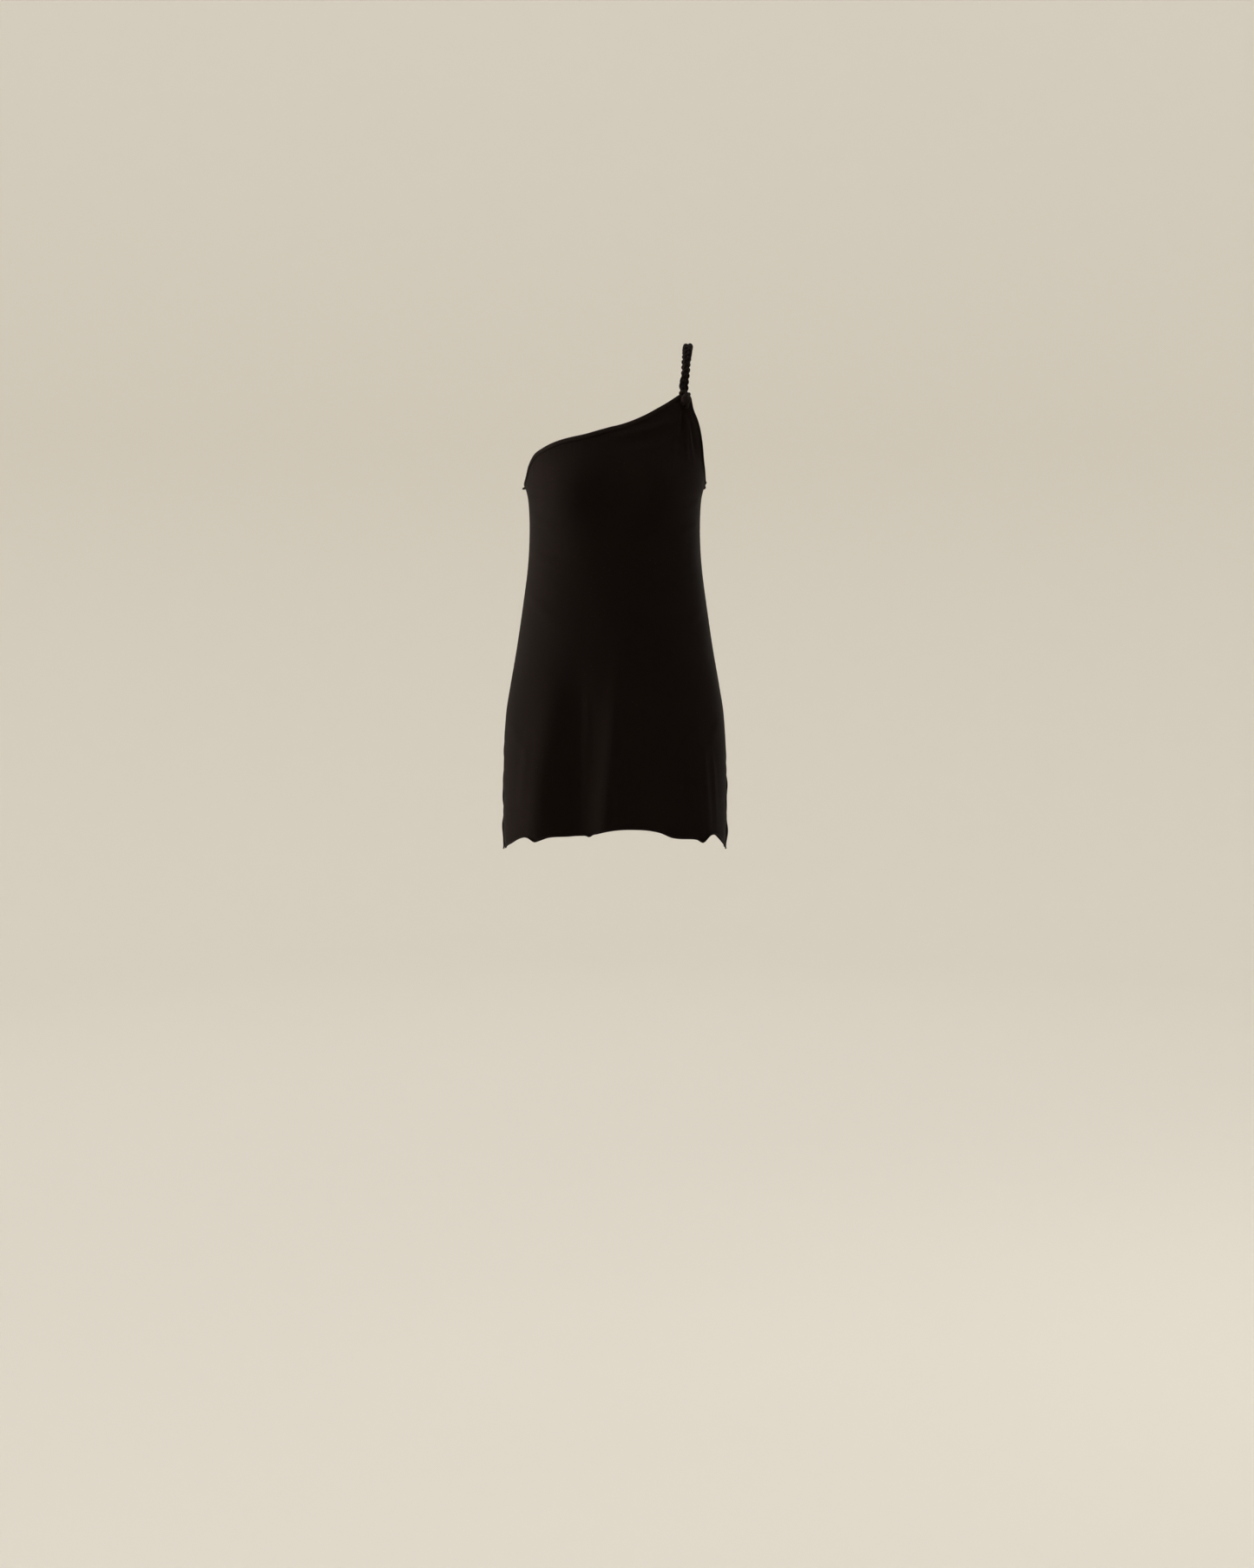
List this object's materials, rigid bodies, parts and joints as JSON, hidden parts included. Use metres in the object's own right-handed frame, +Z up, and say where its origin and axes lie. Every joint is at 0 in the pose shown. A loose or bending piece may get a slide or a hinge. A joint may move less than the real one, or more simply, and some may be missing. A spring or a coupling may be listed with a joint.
{
  "type": "one-shoulder tank top",
  "caption": "Long black jersey one-shoulder top in its worn hollow form, with a plaited shoulder strap, a knotted corner, side slits and a raw hem.",
  "frame": {"origin": "underside of the plaited strap at its highest point, where the wearer's left shoulder holds the garment", "axes": "+Z up, from the hem to the strap; +X towards the wearer's left; -Y is the front"},
  "size_m": [0.3378, 0.2386, 0.7442],
  "materials": {
    "jersey": "fine matt cotton and elastane jersey, near black and slightly warm",
    "binding": "the same jersey, folded and topstitched in black",
    "plait": "the same jersey, rolled into soft strands"
  },
  "bodies": {
    "root": {"front_panel": "jersey", "back_panel": "jersey", "neck_binding_front": "binding", "neck_binding_back": "binding", "armhole_binding_front": "binding", "armhole_binding_back": "binding", "strap_strand_1": "plait", "strap_strand_2": "plait", "strap_strand_3": "plait", "knot": "plait", "knot_tail": "plait"}
  },
  "joints": []
}
